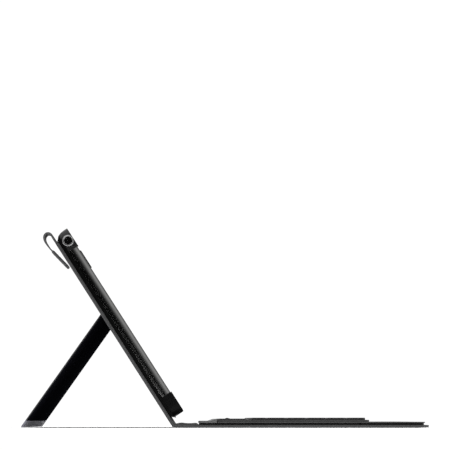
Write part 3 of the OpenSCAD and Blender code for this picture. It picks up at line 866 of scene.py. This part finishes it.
def make_tray():
    profile = side_prism("profile", tray_profile(), 0.2)
    mesh = boolean(welded_copy("tray_plate"), profile, "INTERSECT")
    mesh.materials.clear()
    bevelled(placed("tray_frame", mesh, "tray_black", "cover", ["tray_plate"]), 0.25 * MM)
    # The top clips take the lighter copy of the clip plastic, which paints the light they catch; the bottom
    # clips keep the plain black.
    for node, surface in (("top_left_clip", "clip_grey"), ("top_right_clip", "clip_grey"),
                          ("bottom_left_clip", "clip_black"), ("bottom_right_clip", "clip_black")):
        mesh = boolean(welded_copy(node), side_prism("profile", tray_profile(), 0.2), "INTERSECT")
        mesh.materials.clear()
        bevelled(placed(node.replace("clip", "corner"), mesh, surface, "cover", [node]), clip_bevel)


def jack_ring(radius, height):
    """A circle round the headphone opening; height is measured outwards from the clip's side face."""
    low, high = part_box("headphone_ring")
    middle = (low + high) / 2
    x_dir, z_dir = COVER.to_3x3() @ Vector((1, 0, 0)), COVER.to_3x3() @ Vector((0, 0, 1))
    turns = [2 * math.pi * k / jack_sides for k in range(jack_sides)]
    center = Vector((middle.x, low.y - height, middle.z))
    return [center + radius * (x_dir * math.cos(a) + z_dir * math.sin(a)) for a in turns]


def closed_ring_faces(count):
    """Faces between count circles of jack_sides points, the last one joined to the first."""
    n = jack_sides
    bands = [(i, (i + 1) % count) for i in range(count)]
    return [(a * n + k, a * n + (k + 1) % n, b * n + (k + 1) % n, b * n + k)
            for a, b in bands for k in range(n)]


def make_jack():
    """Turned metal bezel of the headphone opening, and a slitted near-black disc inside it that paints the
    shade of the open hole.
    """
    profile = [(3.3, -2.4), (3.3, -1.3), (3.9, -0.75), (4.3, -0.3), (4.55, 0.05), (4.8, 0.18), (5.1, 0.22),
               (5.35, 0.12), (5.45, -0.02), (4.2, -0.1), (4.2, -2.4)]
    points = [p for r, h in profile for p in jack_ring(r * MM, h * MM)]
    mesh = bpy.data.meshes.new("jack_bezel")
    mesh.from_pydata(points, [], closed_ring_faces(len(profile)))
    turned_out(mesh)
    placed("jack_bezel", mesh, "ring_metal", "cover", ["headphone_ring"], angle=60)
    points, faces = [], []
    # A near-black slitted disc set into the hole stands for the hole's shade.
    shade_disc_profile = [(3.28, -1.35), (2.6, -1.4), (0.03, -1.65), (0.03, -2.0), (2.6, -1.9), (3.28, -1.8)]
    quarter = jack_sides // 4
    for part in range(4):
        rings = [jack_ring(r * MM, h * MM) for r, h in shade_disc_profile]
        steps = [part * quarter + k for k in range(quarter + 1)]
        first = len(points)
        center = sum(rings[0], Vector()) / jack_sides
        aim = sum((rings[0][k % jack_sides] for k in steps), Vector()) / len(steps) - center
        slit = aim.normalized() * 0.004 * MM
        for ring in rings:
            points += [ring[k % jack_sides] + slit for k in steps]
        n = len(steps)
        for r in range(len(rings)):
            nxt = (r + 1) % len(rings)
            faces += [(first + r * n + k, first + r * n + k + 1, first + nxt * n + k + 1, first + nxt * n + k)
                      for k in range(n - 1)]
        faces.append(tuple(first + r * n for r in reversed(range(len(rings)))))
        faces.append(tuple(first + r * n + n - 1 for r in range(len(rings))))
    mesh = bpy.data.meshes.new("jack_shade_disc")
    mesh.from_pydata(points, [], faces)
    turned_out(mesh)
    placed("jack_shade_disc", mesh, "hole_shade_rubber", "cover")


def make_tray_pad():
    s0, s1, reach = bay[0] + 0.5 * MM, bay[1] - 0.5 * MM, bay_half_w - 0.5 * MM
    steps = [e * MM for e in (0, 0.1, 0.3, 0.6, 3, 5.5, 5.8, 6.1, 6.4, 7)]

    def place(s, v, height):
        e_u, e_v = min(s - s0, s1 - s), reach - abs(v)
        e_u2, e_v2 = round_corner(e_u, e_v)
        s = s0 + e_u2 if s - s0 < s1 - s else s1 - e_u2
        return COVER @ Vector((-s, math.copysign(reach - e_v2, v), height))

    def top(s, v):
        e = min(s - s0, s1 - s, reach - abs(v))
        pressed = 0.3 * MM * max(0, 1 - ((e - 5.95 * MM) / (0.5 * MM)) ** 2)
        return place(s, v, tray_t - rounded_off(e, 0.6 * MM) - pressed)

    rows = [s0 + e for e in steps] + [s1 - e for e in steps] + [s0 + 18 * MM * i for i in range(1, 11)]
    cols = mirrored([reach - e for e in steps] + [20 * MM * i for i in range(8)])
    mesh = shell("tray_cushion", sorted(rows), cols, top, lambda s, v: place(s, v, bay_floor + 0.02 * MM))
    mesh = boolean(mesh, cover_cutter("camera_cut", stadium(1.5 * MM), 2 * MM, 6 * MM), "DIFFERENCE")
    piece = placed("tray_cushion", mesh, "tray_pad", "cover", ["tray_pad"])


def make_rails():
    """The side rails: a straight lower wall that rolls over towards the front."""
    profile = [(2.15, 0), (2.15, 1.2), (2.12, 2.2), (2.06, 3.1), (1.95, 4), (1.78, 4.9), (1.55, 5.7),
               (1.27, 6.5), (0.93, 7.3), (0.53, 8.1), (0.25, 8.8), (0.08, 9.3), (0.0, 9.6), (-0.1, 9.65),
               (-0.1, 0)]
    rail_start, rail_end, rail_bevel = 27.7 * MM, 192.6 * MM, 0.12 * MM
    for side, node in ((-1, "left_rail"), (1, "right_rail")):
        outline = [(side * (bay_half_w + y * MM), bay_floor + h * MM) for y, h in profile]
        mesh = prism(node + "_bar", outline, rail_start, rail_end, lambda y, h, s: COVER @ Vector((-s, y, h)))
        bar = placed(node + "_bar", mesh, "rail_gloss", "cover", [node], angle=30)
        bevelled(bar, rail_bevel, 2, 60)


# ---- Kickstand ----
def stand_point(x, y, z):
    return STAND @ Vector((x, y, z))


def make_kickstand():
    end = stand_len - foot_len
    steps = [e * MM for e in (0, 0.1, 0.3, 0.7, 2.5, 2.75, 3, 3.25, 3.5, 5)]
    cols = mirrored([stand_half_w - e for e in steps] + [20 * MM * i for i in range(8)])

    def edge_fall(v, radius):
        return rounded_off(stand_half_w - abs(v), radius)

    def outer(x, v):
        e = min(stand_half_w - abs(v), end - x + 3 * MM)
        fall = edge_fall(v, 0.6 * MM) + groove(e) * 0.7 + rounded_off(x + leg_r, leg_r)
        return stand_point(x, v, -leg_r + fall)

    def inner(x, v):
        top = leg_r - liner_t
        return stand_point(x, v, min(top, math.sqrt(max(leg_r ** 2 - min(x, 0) ** 2, 0))))

    rows = [-leg_r + leg_r * (1 - math.cos(math.radians(15 * k))) for k in range(7)]
    rows += [1.2 * MM, 3 * MM] + [15 * MM * i for i in range(1, 9)] + [end - 1 * MM, end]
    mesh = shell("stand_skin", sorted(rows), cols, outer, inner)
    skin = placed("stand_skin", mesh, "stand_skin", "kickstand", ["kickstand_panel"])

    def liner_top(x, v):
        e = min(stand_half_w - 0.4 * MM - abs(v), x - 1.2 * MM, end - x)
        return stand_point(x, v, leg_r - rounded_off(max(e, 0), 0.3 * MM))

    reach = stand_half_w - 0.4 * MM
    liner_cols = mirrored([reach - e * MM for e in (0, 0.05, 0.15, 0.3, 2)] + [20 * MM * i for i in range(8)])
    liner_rows = [1.2 * MM + e * MM for e in (0, 0.05, 0.15, 0.3, 2)] + [15 * MM * i for i in range(1, 9)]
    liner_rows += [end - e * MM for e in (0, 0.05, 0.15, 0.3, 2)]
    mesh = shell("stand_lining", sorted(liner_rows), liner_cols, liner_top,
                 lambda x, v: stand_point(x, v, leg_r - liner_t))
    liner = placed("stand_lining", mesh, "stand_liner", "kickstand", ["kickstand_liner"])
    make_foot(end)


def make_foot(start):
    """Rubber strip along the free edge, with grip lines, and a cap with rounded edges at each end."""
    notch = 0.14 * MM
    grip = []
    for k in range(5):
        x = start + (1.2 + 1.1 * k) * MM
        grip += [(x - 0.2 * MM, leg_r), (x, leg_r - notch), (x + 0.2 * MM, leg_r)]
    nose = arc((stand_len, 0), leg_r, 90, -90, 8)
    outline = [(start, leg_r)] + grip + nose + [(x, -z) for x, z in reversed(grip)] + [(start, -leg_r)]
    cap = 3 * MM
    mesh = prism("foot_strip", outline, -stand_half_w + cap, stand_half_w - cap,
                 lambda x, z, y: stand_point(x, y, z))
    placed("foot_strip", mesh, "foot_rubber", "kickstand", ["kickstand_foot"])
    plain = [(start, leg_r)] + nose + [(start, -leg_r)]
    for side in (-1, 1):
        mesh = prism("foot_cap", plain, side * (stand_half_w - cap + 0.15 * MM), side * stand_half_w,
                     lambda x, z, y: stand_point(x, y, z))
        name = "foot_cap_left" if side < 0 else "foot_cap_right"
        bevelled(placed(name, mesh, "foot_rubber", "kickstand"), 0.2 * MM)


# ---- Keyboard ----
key_nodes = [name[:-len("_travel")] for name in joint if name.endswith("_travel") and "key" in name]
key_nodes += ["space_bar"]
cap_r = 2.2 * MM
cap_rings = [(1.1, 0.8), (0.95, -0.4), (0.85, -0.45), (0.1, -0.45), (0.0, -0.4), (0.1, 1.1), (0.22, 1.48),
             (0.4, 1.67), (0.75, 1.74), (1.6, 1.71), (3.2, 1.64)]


def key_cap(points, faces, low, high):
    """One key cap: sides that lean in, a soft upper edge and a slightly dished top."""
    first, count = len(points), 0
    for inset, height in cap_rings:
        inset *= MM
        ring = rounded_rectangle(low[0] + inset, high[0] - inset, low[1] + inset, high[1] - inset,
                                 max(cap_r - inset * 0.4, 0.6 * MM), 4)
        count = len(ring)
        points += [Vector((x, y, low[2] + height * MM)) for x, y in ring]
    for r in range(len(cap_rings) - 1):
        for k in range(count):
            a, b = first + r * count + k, first + r * count + (k + 1) % count
            faces.append((a, b, b + count, a + count))
    faces.append(tuple(first + k for k in reversed(range(count))))
    faces.append(tuple(first + (len(cap_rings) - 1) * count + k for k in range(count)))


def make_keys():
    for node in key_nodes:
        points, faces = [], []
        for low, high in solids_of(node):
            key_cap(points, faces, low, high)
        mesh = bpy.data.meshes.new(node + "_caps")
        mesh.from_pydata(points, [], faces)
        turned_out(mesh)
        placed(node + "_caps", mesh, "key_plastic", node, [node], angle=60)


# ---- CAD nodes that stay, with their finishes and soft edges ----
kept = {
    "base_board": "stiffener", "spine_board": "stiffener", "cover_board": "stiffener",
    "keyboard_bottom_shell": "black_shell", "keyboard_top_shell": "grey_shell",
    "battery_cover": "battery_shell_and_highlight", "control_bar": "bar_plastic", "key_plate": "steel",
    "key_membrane": "membrane", "rubber_domes": "dome_rubber", "battery_cells": "battery_foil",
    "circuit_board": "board_green", "charging_port": "port_metal", "status_light": "light_pipe",
    "shell_screws": "steel", "catch_plate": "steel", "power_switch": "switch_plastic",
    "pairing_button": "switch_plastic", "camera_bezel": "bezel_plastic", "hinge_blocks": "bezel_plastic",
    "hinge_rod": "steel",
}
soft_edges = {"battery_cover": 0.3, "control_bar": 0.45, "power_switch": 0.2, "pairing_button": 0.25,
              "camera_bezel": 0.3, "hinge_blocks": 0.25, "keyboard_bottom_shell": 0.2}


def finish_kept_nodes():
    for node, surface in kept.items():
        piece = frame["nodes"][node]
        piece.data.materials.clear()
        piece.data.materials.append(surfaces[surface].material)
        if node in soft_edges:
            bevelled(piece, soft_edges[node] * MM)


make_camera()
make_studio()
make_floor()
make_base_skin()
make_cover_skin()
make_base_lining()
make_cover_lining()
make_flap()
make_tab()
make_tray()
make_jack()
make_tray_pad()
make_rails()
make_kickstand()
make_keys()
finish_kept_nodes()

scene.view_settings.view_transform = "Standard"
